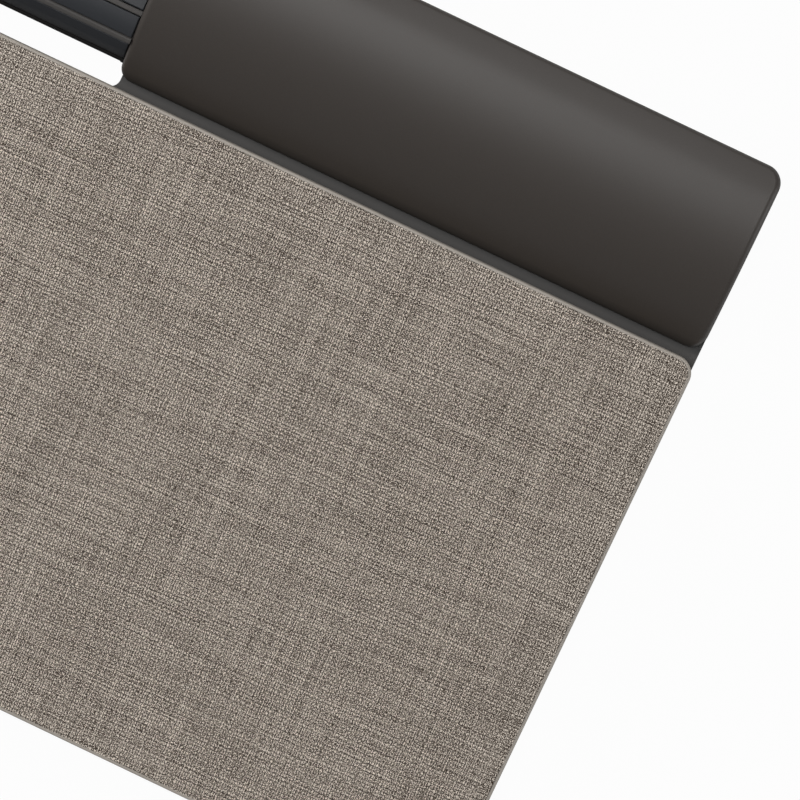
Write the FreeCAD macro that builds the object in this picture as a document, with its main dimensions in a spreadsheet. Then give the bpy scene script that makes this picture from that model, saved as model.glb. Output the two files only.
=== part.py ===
import FreeCAD, Part
import os
import re

import Sketcher

# A bar-type pointing device that lies in front of a keyboard, with its deep palm rest attached.
# X runs along the bar to the right, Y towards the keyboard, Z up from the desk. The origin is on
# the desk, under the middle of the whole object. All sizes are in millimetres, angles in degrees.

SIZES = {
    # palm rest
    "rest_width": 485.0,
    "rest_depth": 141.6,
    "rest_corner": 4.1,
    "rim_wall": 0.7,
    "rim_top": 12.2,
    "rim_edge": 0.5,
    "tray_floor": 2.0,
    "pad_top": 13.4,
    "pad_crown": 1.0,
    "pad_edge": 0.4,
    "pad_gap": 0.08,
    "cloth": 0.8,
    "plate_thick": 1.2,
    "plate_inset": 0.4,
    "plate_inner_corner": 2.4,
    "tab_inset": 0.9,
    "tab_reach": 20.0,
    "tab_clear": 0.3,
    "foot_height": 1.0,
    "rest_foot_width": 8.0,
    "rest_foot_length": 90.0,
    "rest_foot_inset": 12.0,
    # slim housing of the device
    "unit_inset": 0.4,
    "unit_depth": 45.8,
    "seam_gap": 2.6,
    "center_width": 185.0,
    "cover_wall": 1.8,
    "cover_back_corner": 4.4,
    "cover_front_corner": 4.3,
    "cover_inner_corner": 3.2,
    "cover_edge": 1.4,
    "crest_height": 19.0,
    "crest_inset": 8.2,
    "front_sweep": 57.0,
    "back_sweep": 20.0,
    "floor_thick": 1.6,
    "part_gap": 0.2,
    "joint_gap": 0.06,
    "wing_gap": 0.15,
    "wing_setback": 1.4,
    "pan_wall": 1.6,
    "boss_inset": 13.0,
    "boss_front": 9.0,
    "boss_back": 8.5,
    "boss_radius": 2.8,
    "screw_radius": 1.0,
    "screw_fit": 0.08,
    "screw_head_radius": 2.0,
    "screw_head": 0.9,
    "screw_grip": 4.0,
    "magnet_radius": 5.0,
    "magnet_thick": 2.0,
    "magnet_seat": 0.9,
    "magnet_inset": 26.0,
    "magnet_front": 13.0,
    "unit_foot_width": 6.0,
    "unit_foot_length": 36.0,
    # key section
    "nose_radius": 13.25,
    "nose_setback": 2.75,
    "nose_top": 13.3,
    "frame_wall": 1.6,
    "end_wall": 1.7,
    "sill_angle": 22.4,
    "rib_low_angle": 51.2,
    "rib_high_angle": 57.4,
    "rib_top_angle": 84.5,
    "hub_half": 9.4,
    "rib_edge": 0.35,
    "key_gap": 0.22,
    "key_recess": 0.4,
    "key_wall": 1.6,
    "key_edge": 0.3,
    "key_travel": 0.5,
    "rear_key_depth": 4.0,
    "lip_wall": 1.0,
    "stem_width": 4.0,
    "stem_depth": 2.2,
    "stem_gap": 0.12,
    "front_switch_x": 34.0,
    "middle_switch_x": 50.0,
    "rear_switch_x": 66.0,
    # boards and switches
    "board_thick": 1.2,
    "board_lift": 1.6,
    "board_front": 6.8,
    "board_inset": 5.8,
    "switch_size": 5.0,
    "switch_body": 3.5,
    "switch_top": 4.3,
    "plunger_radius": 1.2,
    "board_boss_radius": 2.2,
    "board_boss_inset": 7.0,
    "sensor_half": 5.0,
    "sensor_thick": 1.8,
    "sensor_height": 6.0,
    "sensor_setback": 0.6,
    "battery_gap": 1.5,
    "battery_depth": 24.0,
    "battery_thick": 5.5,
    "battery_front": 12.5,
    "charge_board_inset": 57.0,
    "charge_board_width": 44.0,
    "charge_board_depth": 22.0,
    "charge_board_lift": 1.0,
    "socket_width": 8.9,
    "socket_height": 3.2,
    "socket_depth": 7.3,
    "socket_shell": 0.35,
    "socket_offset": 9.0,
    "slot_gap": 0.35,
    "switch_offset": 10.0,
    "knob_width": 4.0,
    "knob_height": 2.2,
    "knob_travel": 2.0,
    "knob_recess": 0.3,
    # roller bar
    "sleeve_radius": 8.0,
    "sleeve_length": 140.0,
    "grip_wall": 1.0,
    "core_wall": 1.0,
    "grip_ribs": 30,
    "grip_groove": 0.3,
    "trough_gap": 0.55,
    "roller_z": 11.8,
    "rod_radius": 3.0,
    "run_fit": 0.05,
    "bush_length": 12.0,
    "flange_thick": 1.5,
    "end_gap": 0.3,
    "block_thick": 3.6,
    "block_half": 4.5,
    "block_low": 4.8,
    "block_high": 4.4,
    "slide_gap": 0.3,
    "keeper_wall": 1.6,
    "bar_travel": 0.8,
    # scroll wheel
    "wheel_radius": 6.0,
    "wheel_width": 8.0,
    "wheel_from_front": 12.5,
    "wheel_z": 9.2,
    "wheel_gap": 0.6,
    "tyre_wall": 1.5,
    "tyre_ribs": 24,
    "tyre_groove": 0.35,
    "axle_radius": 1.0,
    "axle_boss": 2.2,
    "post_thick": 1.6,
    "post_depth": 3.8,
    "post_gap": 0.7,
    "wheel_travel": 0.5,
}

# Places worked out from the sizes above. y is measured from the middle of the whole object.
PLACES = {
    "half_depth": "(rest_depth + seam_gap + unit_depth) / 2",
    "unit_back": "half_depth",
    "unit_front": "half_depth - unit_depth",
    "rest_back": "unit_front - seam_gap",
    "rest_front": "-half_depth",
    "rest_x": "rest_width / 2",
    "plate_high": "foot_height + plate_thick",
    "tray_top": "plate_high + tray_floor",
    "rim_z": "plate_high + tab_clear",
    "seat_z": "rim_z + floor_thick",
    "pan_floor": "foot_height + floor_thick",
    "cover_x": "center_width / 2",
    "unit_x": "rest_x - unit_inset",
    "mid_x": "cover_x - joint_gap",
    "crest_y": "unit_back - crest_inset",
    "crest_drop": "unit_depth - crest_inset",
    "wing_front": "unit_front + cover_wall + wing_setback",
    "wing_back": "unit_back - cover_wall - wing_gap",
    "wing_end": "unit_x - cover_wall - wing_gap",
    "boss_near": "cover_x + boss_inset",
    "boss_far": "unit_x - boss_inset",
    "boss_front_y": "unit_front + boss_front",
    "boss_back_y": "unit_back - boss_back",
    "nose_y": "unit_front + nose_setback + nose_radius",
    "nose_z": "nose_top - nose_radius",
    "frame_inner": "nose_radius - frame_wall",
    "key_inner": "nose_radius - key_wall",
    "key_outer": "nose_radius - key_recess",
    "key_top": "nose_top - key_recess",
    "frame_front": "nose_y - sqrt(nose_radius^2 - (seat_z - nose_z)^2)",
    "window_x": "mid_x - end_wall",
    "key_x": "hub_half + key_gap",
    "key_length": "cover_x - hub_half - 2 * key_gap",
    "key_room": "key_inner - key_travel - key_gap",
    "gap_angle": "key_gap / nose_radius * 180 / pi",
    "front_low": "sill_angle + gap_angle",
    "front_high": "rib_low_angle - gap_angle",
    "front_mid": "(sill_angle + rib_low_angle) / 2",
    "middle_low": "rib_high_angle + gap_angle",
    "middle_high": "rib_top_angle - gap_angle",
    "middle_mid": "(rib_high_angle + rib_top_angle) / 2",
    "rear_low": "nose_y + key_gap",
    "rear_high": "rear_low + rear_key_depth",
    "lip_front": "rear_high + key_gap",
    "lip_back": "lip_front + lip_wall",
    "roller_y": "lip_back + trough_gap + sleeve_radius",
    "rail_front": "roller_y + sleeve_radius + trough_gap",
    "rail_top": "crest_height - back_sweep + sqrt(back_sweep^2 - (rail_front - crest_y)^2)",
    "rail_inner_top":
        "crest_height - back_sweep + sqrt((back_sweep - frame_wall)^2 - (rail_front + frame_wall - crest_y)^2)",
    "rail_inner_back":
        "crest_height - back_sweep + sqrt((back_sweep - frame_wall)^2 - (crest_inset - frame_wall)^2)",
    "board_low": "pan_floor + board_lift",
    "board_high": "board_low + board_thick",
    "board_y": "unit_front + board_front",
    "board_back": "lip_front - part_gap",
    "board_half": "mid_x - board_inset",
    "board_boss_x": "board_half - board_boss_inset",
    "switch_z": "board_high + switch_top",
    "stem_low": "switch_z + key_travel + stem_gap",
    "middle_stem_y": "nose_y - key_inner * cos(middle_mid)",
    "rear_stem_y": "board_back - switch_size / 2",
    "front_stem_z": "nose_z + key_inner * sin(front_mid)",
    "front_stem_y": "nose_y - (key_inner + key_wall / 2) * cos(front_mid)",
    "front_plunger": "nose_y - key_inner * cos(front_mid) + stem_depth + key_travel + stem_gap",
    "front_stem_end": "front_plunger - key_travel - stem_gap",
    "wheel_y": "unit_front + wheel_from_front",
    "post_x": "wheel_width / 2 + wheel_gap + post_gap",
    "axle_end": "post_x + post_thick + switch_size / 2 + part_gap",
    "wheel_switch_x": "post_x + post_thick + part_gap * 2 + switch_size / 2",
    "core_outer": "sleeve_radius - grip_wall",
    "core_inner": "core_outer - core_wall",
    "block_x": "mid_x - part_gap - block_thick",
    "keeper_half": "block_half + slide_gap + keeper_wall",
    "keeper_top": "roller_z + block_high + slide_gap",
    "charge_board_x": "cover_x + charge_board_inset",
    "socket_x": "charge_board_x + socket_offset",
    "switch_x": "charge_board_x - switch_offset",
    "charge_low": "seat_z + charge_board_lift",
    "charge_high": "charge_low + board_thick",
    "charge_back": "unit_back - cover_wall - part_gap",
    "socket_z": "charge_high + socket_height / 2",
    "knob_z": "charge_high + switch_body / 2",
    "knob_tip": "unit_back - knob_recess",
    "pad_x": "rest_x - rim_wall - pad_gap",
    "pad_front": "rest_front + rim_wall + pad_gap",
    "pad_back": "rest_back - rim_wall - pad_gap",
    "foam_inset": "cloth + pad_gap",
}

doc = FreeCAD.newDocument("bar_mouse")
sheet = doc.addObject("Spreadsheet::Sheet", "Sizes")
for row, (alias, size) in enumerate(SIZES.items(), start=1):
    sheet.set(f"A{row}", alias)
    sheet.set(f"B{row}", str(size))
    sheet.setAlias(f"B{row}", alias)
doc.recompute()

WORD = re.compile(r"[a-z_]+")


def formula(text):
    """Writes a place out as an expression of the sheet's cells."""
    def spell(match):
        word = match.group(0)
        if word in PLACES:
            return "(" + formula(PLACES[word]) + ")"
        if word in SIZES:
            return "Sizes." + word
        return word
    return WORD.sub(spell, str(text))


def number(text):
    return float(sheet.evalExpression(formula(text)))


def bind(thing, prop, text):
    thing.setExpression(prop, formula(text))


def new_body(label):
    body = doc.addObject("PartDesign::Body", label)
    body.Label = label
    return body


def plane_of(body, role):
    return [item for item in body.Origin.OriginFeatures if item.Role == role][0]


def new_sketch(body, name, plane, offset):
    sketch = body.newObject("Sketcher::SketchObject", body.Label + "_" + name)
    sketch.AttachmentSupport = (plane_of(body, plane), [""])
    sketch.MapMode = "FlatFace"
    bind(sketch, "AttachmentOffset.Base.z", offset)
    return sketch


def pin(sketch, geo, point, place):
    """Holds a point of a sketch at a place given as two expressions."""
    for kind, text in (("DistanceX", place[0]), ("DistanceY", place[1])):
        index = sketch.addConstraint(Sketcher.Constraint(kind, -1, 1, geo, point, number(text)))
        bind(sketch, f"Constraints[{index}]", text)


def arc_between(start, end, radius, turn):
    """The short arc from start to end: turn 1 runs counter-clockwise, -1 clockwise."""
    first = FreeCAD.Vector(*start, 0) if turn > 0 else FreeCAD.Vector(*end, 0)
    last = FreeCAD.Vector(*end, 0) if turn > 0 else FreeCAD.Vector(*start, 0)
    chord = last - first
    rise = max(radius ** 2 - chord.Length ** 2 / 4, 0.0) ** 0.5
    side = FreeCAD.Vector(-chord.y, chord.x, 0).normalize()
    centre = (first + last) / 2 + side * rise
    middle = centre - side * radius
    return Part.ArcOfCircle(first, middle, last)


def outline(body, name, plane, loops, offset="0"):
    """A sketch of closed loops. A corner is (x, y), or (x, y, radius, turn) before an arc."""
    sketch = new_sketch(body, name, plane, offset)
    for loop in loops:
        spots = [(number(corner[0]), number(corner[1])) for corner in loop]
        ends = []
        for index, corner in enumerate(loop):
            start, end = spots[index], spots[(index + 1) % len(loop)]
            if len(corner) > 2:
                geo = sketch.addGeometry(arc_between(start, end, number(corner[2]), corner[3]))
                ends.append((geo, 1, 2) if corner[3] > 0 else (geo, 2, 1))
                limit = sketch.addConstraint(Sketcher.Constraint("Radius", geo, number(corner[2])))
                bind(sketch, f"Constraints[{limit}]", corner[2])
            else:
                line = Part.LineSegment(FreeCAD.Vector(*start, 0), FreeCAD.Vector(*end, 0))
                ends.append((sketch.addGeometry(line), 1, 2))
        for index, (geo, first, last) in enumerate(ends):
            after, entry, _ = ends[(index + 1) % len(ends)]
            sketch.addConstraint(Sketcher.Constraint("Coincident", geo, last, after, entry))
            pin(sketch, geo, first, loop[index])
    return sketch


def circles(body, name, plane, spots, radius, offset="0"):
    """A sketch of equal circles at the given places."""
    sketch = new_sketch(body, name, plane, offset)
    for spot in spots:
        centre = FreeCAD.Vector(number(spot[0]), number(spot[1]), 0)
        geo = sketch.addGeometry(Part.Circle(centre, FreeCAD.Vector(0, 0, 1), number(radius)))
        pin(sketch, geo, 3, spot)
        limit = sketch.addConstraint(Sketcher.Constraint("Radius", geo, number(radius)))
        bind(sketch, f"Constraints[{limit}]", radius)
    return sketch


def box(x_low, x_high, y_low, y_high):
    return [(x_low, y_low), (x_high, y_low), (x_high, y_high), (x_low, y_high)]


def round_box(x_low, x_high, y_low, y_high, radii):
    """A rectangle with rounded corners: radii run from the low corner counter-clockwise."""
    low_left, low_right, high_right, high_left = radii
    return [
        (f"{x_low} + {low_left}", y_low),
        (f"{x_high} - ({low_right})", y_low, low_right, 1),
        (x_high, f"{y_low} + {low_right}"),
        (x_high, f"{y_high} - ({high_right})", high_right, 1),
        (f"{x_high} - ({high_right})", y_high),
        (f"{x_low} + {high_left}", y_high, high_left, 1),
        (x_low, f"{y_high} - ({high_left})"),
        (x_low, f"{y_low} + {low_left}", low_left, 1),
    ]


def pad(body, sketch, length):
    feature = body.newObject("PartDesign::Pad", sketch.Name + "_pad")
    feature.Profile = sketch
    bind(feature, "Length", length)
    doc.recompute([sketch, feature, body])
    return feature


def cut(body, sketch, length):
    """Cuts a sketch along its own normal, and makes sure that it took something away."""
    before = body.Shape.Volume
    feature = body.newObject("PartDesign::Pocket", sketch.Name + "_cut")
    feature.Profile = sketch
    feature.Reversed = True
    bind(feature, "Length", length)
    doc.recompute([sketch, feature, body])
    if body.Shape.Volume > before - 1e-6:
        raise RuntimeError(sketch.Name + " cuts nothing")
    return feature


def spin(body, sketch):
    """Turns a sketch once round the X axis."""
    feature = body.newObject("PartDesign::Revolution", sketch.Name + "_spin")
    feature.Profile = sketch
    feature.ReferenceAxis = (sketch, ["H_Axis"])
    feature.Angle = 360
    doc.recompute([sketch, feature, body])
    return feature


def ring_of(body, feature, count):
    """Repeats a feature all round the X axis."""
    pattern = body.newObject("PartDesign::PolarPattern", feature.Name + "_ring")
    pattern.Originals = [feature]
    pattern.Axis = (plane_of(body, "X_Axis"), [""])
    pattern.Angle = 360
    bind(pattern, "Occurrences", count)
    body.Tip = pattern
    doc.recompute()
    return pattern


def fillet(body, radius, wanted):
    """Rounds the edges of the body that the test picks."""
    base = body.Tip
    names = [f"Edge{index}" for index, edge in enumerate(base.Shape.Edges, start=1) if wanted(edge)]
    feature = body.newObject("PartDesign::Fillet", base.Name + "_round")
    feature.Base = (base, names)
    bind(feature, "Radius", radius)
    doc.recompute()
    return feature


def place(thing, **spots):
    for axis, text in spots.items():
        bind(thing, "Placement.Base." + axis, text)


def mirrored(label, source):
    """The other hand of a piece, across the middle of the bar."""
    twin = doc.addObject("Part::Mirroring", label)
    twin.Label = label
    twin.Source = source
    twin.Normal = FreeCAD.Vector(1, 0, 0)
    doc.recompute()
    return twin


def taken_away(label, base, tool):
    result = doc.addObject("Part::Cut", label)
    result.Label = label
    result.Base = base
    result.Tool = tool
    doc.recompute()
    return result


def both_sides(spots):
    """The given (x, y) places and their mirror images."""
    return spots + [(f"-({x})", y) for x, y in spots]


def both_boxes(boxes):
    """The given (x_low, x_high, y_low, y_high) boxes and their mirror images, as loops."""
    loops = [box(*item) for item in boxes]
    return loops + [box(f"-({item[1]})", f"-({item[0]})", item[2], item[3]) for item in boxes]


def on_nose(radius, angle):
    """A place in the cross-section, at an angle up from the front of the rounded nose."""
    return (f"nose_y - ({radius}) * cos({angle})", f"nose_z + ({radius}) * sin({angle})")


parts = {}


# End covers: moulded wedge shells, thin at the user's side, with their crest near the back.
# Four screw columns stand inside each one, and its inner end is notched over the chassis.
COVER_BACK = "crest_height - back_sweep + sqrt(back_sweep^2 - crest_inset^2)"
COVER_LIP = "crest_height - front_sweep + sqrt(front_sweep^2 - crest_drop^2)"
INNER_BACK = "crest_height - back_sweep + sqrt((back_sweep - cover_wall)^2 - (crest_inset - cover_wall)^2)"
INNER_LIP = "crest_height - front_sweep + sqrt((front_sweep - cover_wall)^2 - (crest_drop - cover_wall)^2)"

cover_form = new_body("cover_form")
pad(cover_form, outline(cover_form, "section", "YZ_Plane", [[
    ("unit_front", "rim_z"),
    ("unit_back", "rim_z"),
    ("unit_back", COVER_BACK, "back_sweep", 1),
    ("crest_y", "crest_height", "front_sweep", 1),
    ("unit_front", COVER_LIP),
]], "cover_x"), "unit_x - cover_x")
cut(cover_form, outline(cover_form, "corners", "XY_Plane", [
    box("cover_x - unit_depth", "unit_x + unit_depth", "unit_front - unit_depth", "unit_back + unit_depth"),
    round_box("cover_x", "unit_x", "unit_front", "unit_back",
              ["cover_inner_corner", "cover_front_corner", "cover_back_corner", "cover_inner_corner"]),
]), "crest_height * 2")
CREST_LINE = "crest_height - cover_edge / 100"
fillet(cover_form, "cover_edge", lambda edge: all(
    vertex.Z > number("seat_z") for vertex in edge.Vertexes
) and (edge.BoundBox.ZMax < number(CREST_LINE) or edge.BoundBox.XLength < 1e-4))

cover_hollow = new_body("cover_hollow")
pad(cover_hollow, outline(cover_hollow, "section", "YZ_Plane", [[
    ("unit_front + cover_wall", "rim_z - 1"),
    ("unit_back - cover_wall", "rim_z - 1"),
    ("unit_back - cover_wall", INNER_BACK, "back_sweep - cover_wall", 1),
    ("crest_y", "crest_height - cover_wall", "front_sweep - cover_wall", 1),
    ("unit_front + cover_wall", INNER_LIP),
]], "cover_x + cover_wall"), "unit_x - cover_x - 2 * cover_wall")
cut(cover_hollow, outline(cover_hollow, "corners", "XY_Plane", [
    box("cover_x - unit_depth", "unit_x + unit_depth", "unit_front - unit_depth", "unit_back + unit_depth"),
    round_box("cover_x + cover_wall", "unit_x - cover_wall", "unit_front + cover_wall", "unit_back - cover_wall",
              ["cover_inner_corner - cover_wall", "cover_front_corner - cover_wall",
               "cover_back_corner - cover_wall", "cover_inner_corner - cover_wall"]),
]), "crest_height * 2")
COVER_BOSSES = [(x, y) for x in ("boss_near", "boss_far") for y in ("boss_front_y", "boss_back_y")]
cut(cover_hollow, circles(cover_hollow, "columns", "XY_Plane", COVER_BOSSES, "boss_radius", "seat_z"),
    "crest_height")
pad(cover_hollow, circles(cover_hollow, "pilots", "XY_Plane", COVER_BOSSES, "screw_radius + screw_fit",
                          "seat_z - 0.5"), "screw_grip + 1")
pad(cover_hollow, outline(cover_hollow, "notch", "XY_Plane", [
    box("cover_x - 1", "cover_x + cover_wall + 1", "wing_front - wing_gap", "wing_back + wing_gap"),
], "rim_z - 1"), "floor_thick + wing_gap + 1")
cover_shell = taken_away("cover_shell", cover_form, cover_hollow)

# The right cover's back wall has a slot for the charging plug and one for the power knob.
cover_slots = new_body("cover_slots")
pad(cover_slots, outline(cover_slots, "plug", "XZ_Plane", [round_box(
    "socket_x - socket_width / 2 - slot_gap", "socket_x + socket_width / 2 + slot_gap",
    "socket_z - socket_height / 2 - slot_gap", "socket_z + socket_height / 2 + slot_gap",
    ["socket_height / 2"] * 4)], "-(unit_back + 1)"), "cover_wall + 2")
pad(cover_slots, outline(cover_slots, "knob", "XZ_Plane", [box(
    "switch_x - knob_width / 2 - slot_gap", "switch_x + knob_width / 2 + knob_travel + slot_gap",
    "knob_z - knob_height / 2 - slot_gap", "knob_z + knob_height / 2 + slot_gap",
)], "-(unit_back + 1)"), "cover_wall + 2")
parts["right_cover"] = taken_away("right_cover", cover_shell, cover_slots)
parts["left_cover"] = mirrored("left_cover", cover_shell)

# Chassis: a moulded tray. Its deep middle pan carries the keys and the roller, and its thin wings
# lie above the tabs of the steel plate.
chassis = new_body("chassis")
pad(chassis, outline(chassis, "pan", "XY_Plane", [
    box("-mid_x", "mid_x", "frame_front", "unit_back - part_gap"),
], "foot_height"), "seat_z - foot_height")
cut(chassis, outline(chassis, "well", "XY_Plane", [
    box("-(mid_x - pan_wall)", "mid_x - pan_wall", "frame_front + pan_wall", "unit_back - part_gap - pan_wall"),
], "pan_floor"), "seat_z")
pad(chassis, outline(chassis, "wings", "XY_Plane", [
    round_box("mid_x - pan_wall / 2", "wing_end", "wing_front", "wing_back",
              ["part_gap", "cover_front_corner / 2", "cover_back_corner / 2", "part_gap"]),
    round_box("-wing_end", "-(mid_x - pan_wall / 2)", "wing_front", "wing_back",
              ["cover_front_corner / 2", "part_gap", "part_gap", "cover_back_corner / 2"]),
], "rim_z"), "floor_thick")
cut(chassis, circles(chassis, "screw_holes", "XY_Plane", both_sides(COVER_BOSSES),
                     "screw_radius + screw_fit", "rim_z"), "floor_thick")
cut(chassis, circles(chassis, "head_seats", "XY_Plane", both_sides(COVER_BOSSES),
                     "screw_head_radius + screw_fit", "rim_z"), "screw_head")
MAGNETS = both_sides([("cover_x + magnet_inset", "unit_front + magnet_front"),
                      ("unit_x - magnet_inset", "unit_front + magnet_front")])
cut(chassis, circles(chassis, "magnet_seats", "XY_Plane", MAGNETS, "magnet_radius + screw_fit",
                     "seat_z - magnet_seat"), "floor_thick")
BOARD_BOSSES = both_sides([("board_boss_x", "board_y + board_boss_radius"),
                           ("board_boss_x", "board_back - board_boss_radius")])
pad(chassis, circles(chassis, "board_posts", "XY_Plane", BOARD_BOSSES, "board_boss_radius", "pan_floor"),
    "board_lift")
cut(chassis, circles(chassis, "board_pilots", "XY_Plane", BOARD_BOSSES, "screw_radius + screw_fit",
                     "pan_floor"), "board_lift")
CHARGE_POSTS = [(f"charge_board_x + {side} * (charge_board_width / 2 - board_boss_radius)",
                 f"charge_back - {depth}") for side in (-1, 1)
                for depth in ("board_boss_radius", "charge_board_depth + board_boss_radius")]
pad(chassis, circles(chassis, "charge_posts", "XY_Plane", CHARGE_POSTS, "board_boss_radius / 2", "seat_z"),
    "charge_board_lift")
for side, start in (("right", "post_x"), ("left", "-(post_x + post_thick)")):
    pad(chassis, outline(chassis, side + "_post", "YZ_Plane", [[
        ("wheel_y - post_depth / 2", "pan_floor"),
        ("wheel_y + post_depth / 2", "pan_floor"),
        ("wheel_y + post_depth / 2", "wheel_z + axle_radius"),
        ("wheel_y + axle_radius + run_fit", "wheel_z + axle_radius"),
        ("wheel_y + axle_radius + run_fit", "wheel_z - axle_radius - wheel_travel - run_fit"),
        ("wheel_y - axle_radius - run_fit", "wheel_z - axle_radius - wheel_travel - run_fit"),
        ("wheel_y - axle_radius - run_fit", "wheel_z + axle_radius"),
        ("wheel_y - post_depth / 2", "wheel_z + axle_radius"),
    ]], start), "post_thick")
parts["chassis"] = chassis

# Key frame: the rounded front nose, a shell with long windows for three rows of keys on each side.
# The thin ribs that are left between the windows stand a little above the keys and show from above as lines.
key_frame = new_body("key_frame")
pad(key_frame, outline(key_frame, "section", "YZ_Plane", [[
    ("frame_front", "seat_z"),
    ("lip_back", "seat_z"),
    ("lip_back", "nose_top"),
    ("nose_y", "nose_top", "nose_radius", 1),
]], "-mid_x"), "2 * mid_x")
cut(key_frame, outline(key_frame, "hollow", "YZ_Plane", [[
    ("nose_y - sqrt(frame_inner^2 - (seat_z - nose_z)^2)", "seat_z"),
    ("lip_front", "seat_z"),
    ("lip_front", "nose_top - frame_wall"),
    ("nose_y", "nose_top - frame_wall", "frame_inner", 1),
]], "-window_x"), "2 * window_x")
for side, start in (("right", "hub_half"), ("left", "-window_x")):
    reach, core = "nose_radius * 1.12", "frame_inner * 0.98"
    cut(key_frame, outline(key_frame, side + "_windows", "YZ_Plane", [
        [on_nose(core, "sill_angle"), on_nose(core, "rib_low_angle"),
         on_nose(reach, "rib_low_angle"), on_nose(reach, "sill_angle")],
        [on_nose(core, "rib_high_angle"), on_nose(core, "rib_top_angle"),
         on_nose(reach, "rib_top_angle"), on_nose(reach, "rib_high_angle")],
        box("nose_y", "lip_front", "nose_top - frame_wall * 1.1", "nose_top + frame_wall"),
    ], start), "window_x - hub_half")
# The windows run on over the end walls, deep enough for a pressed key, so that the keys reach the covers.
for side, start in (("right", "window_x"), ("left", "-mid_x")):
    cut(key_frame, outline(key_frame, side + "_end", "YZ_Plane", [
        [on_nose("key_room", "sill_angle"), on_nose("key_room", "rib_low_angle"),
         on_nose(reach, "rib_low_angle"), on_nose(reach, "sill_angle")],
        [on_nose("key_room", "rib_high_angle"), on_nose("key_room", "rib_top_angle"),
         on_nose(reach, "rib_top_angle"), on_nose(reach, "rib_high_angle")],
        box("nose_y", "lip_front", "nose_z + key_room", "nose_top + frame_wall"),
    ], start), "end_wall")


def runs_along_key(edge):
    """Whether an edge of the frame's outer skin runs along one of the key windows."""
    on_skin = all(abs(spot.Z - number("nose_top")) < 1e-4 if spot.Y > number("nose_y") - 1e-4 else
                  abs(((spot.Y - number("nose_y")) ** 2 + (spot.Z - number("nose_z")) ** 2) ** 0.5
                      - number("nose_radius")) < 1e-4 for spot in edge.Vertexes)
    middle = edge.CenterOfMass
    return (on_skin and abs(middle.x) > number("hub_half") and middle.y < number("lip_front") + 1e-4
            and edge.BoundBox.XLength > number("hub_half") and middle.z > number("seat_z") + 1e-4)


fillet(key_frame, "rib_edge", runs_along_key)
cut(key_frame, circles(key_frame, "wheel_slot", "YZ_Plane", [("wheel_y", "wheel_z")],
                       "wheel_radius + wheel_gap", "-(wheel_width / 2 + wheel_gap)"),
    "wheel_width + 2 * wheel_gap")
parts["key_frame"] = key_frame

# Back rail: the hollow beam behind the roller, with the covers' own back curve and a window
# through which the sensor reads the roller.
back_rail = new_body("back_rail")
pad(back_rail, outline(back_rail, "section", "YZ_Plane", [[
    ("rail_front", "seat_z"),
    ("unit_back", "seat_z"),
    ("unit_back", COVER_BACK, "back_sweep", 1),
    ("rail_front", "rail_top"),
]], "-mid_x"), "2 * mid_x")
fillet(back_rail, "cover_edge", lambda edge: edge.BoundBox.XLength > 10
       and edge.BoundBox.ZMin > number("seat_z") + 1)
cut(back_rail, outline(back_rail, "hollow", "YZ_Plane", [[
    ("rail_front + frame_wall", "seat_z"),
    ("unit_back - frame_wall", "seat_z"),
    ("unit_back - frame_wall", "rail_inner_back", "back_sweep - frame_wall", 1),
    ("rail_front + frame_wall", "rail_inner_top"),
]], "-window_x"), "2 * window_x")
cut(back_rail, outline(back_rail, "sensor_window", "XZ_Plane", [box(
    "-(sensor_half + part_gap)", "sensor_half + part_gap",
    "roller_z - sensor_height / 2 - part_gap", "roller_z + sensor_height / 2 + part_gap",
)], "-(rail_front + frame_wall)"), "frame_wall")
parts["back_rail"] = back_rail


def curved_key(label, low, high):
    """A long key that follows the nose, between two angles."""
    body = new_body(label)
    outer_low, outer_high = on_nose("key_outer", low), on_nose("key_outer", high)
    inner_low, inner_high = on_nose("key_inner", low), on_nose("key_inner", high)
    pad(body, outline(body, "section", "YZ_Plane", [[
        outer_low + ("key_outer", -1),
        outer_high,
        inner_high + ("key_inner", 1),
        inner_low,
    ]], "key_x"), "key_length")
    axis_y, axis_z, radius = number("nose_y"), number("nose_z"), number("key_outer")
    fillet(body, "key_edge", lambda edge: all(
        abs(((spot.Y - axis_y) ** 2 + (spot.Z - axis_z) ** 2) ** 0.5 - radius) < 1e-4
        for spot in edge.Vertexes))
    return body


# Keys: each has a stem that ends just short of its switch. The front row is pushed in towards the
# keyboard, the middle row inwards and down, the rear row straight down.
front_key = curved_key("right_front_key", "front_low", "front_high")
pad(front_key, outline(front_key, "stem", "YZ_Plane", [box(
    "front_stem_y", "front_stem_end", "front_stem_z - stem_depth / 2", "front_stem_z + stem_depth / 2",
)], "front_switch_x - stem_width / 2"), "stem_width")
middle_key = curved_key("right_middle_key", "middle_low", "middle_high")
pad(middle_key, outline(middle_key, "stem", "YZ_Plane", [box(
    "middle_stem_y - stem_depth / 2", "middle_stem_y + stem_depth / 2",
    "stem_low", "nose_z + (key_inner + key_wall / 3) * sin(middle_mid)",
)], "middle_switch_x - stem_width / 2"), "stem_width")
rear_key = new_body("right_rear_key")
pad(rear_key, outline(rear_key, "section", "YZ_Plane", [
    box("rear_low", "rear_high", "nose_top - key_wall", "key_top"),
], "key_x"), "key_length")
fillet(rear_key, "key_edge", lambda edge: edge.BoundBox.ZMin > number("key_top") - 1e-4)
pad(rear_key, outline(rear_key, "stem", "YZ_Plane", [box(
    "rear_stem_y - stem_depth / 2", "rear_stem_y + stem_depth / 2", "stem_low", "nose_top - key_wall / 2",
)], "rear_switch_x - stem_width / 2"), "stem_width")
for row_name, key in (("front", front_key), ("middle", middle_key), ("rear", rear_key)):
    parts[f"right_{row_name}_key"] = key
    parts[f"left_{row_name}_key"] = mirrored(f"left_{row_name}_key", key)

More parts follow.
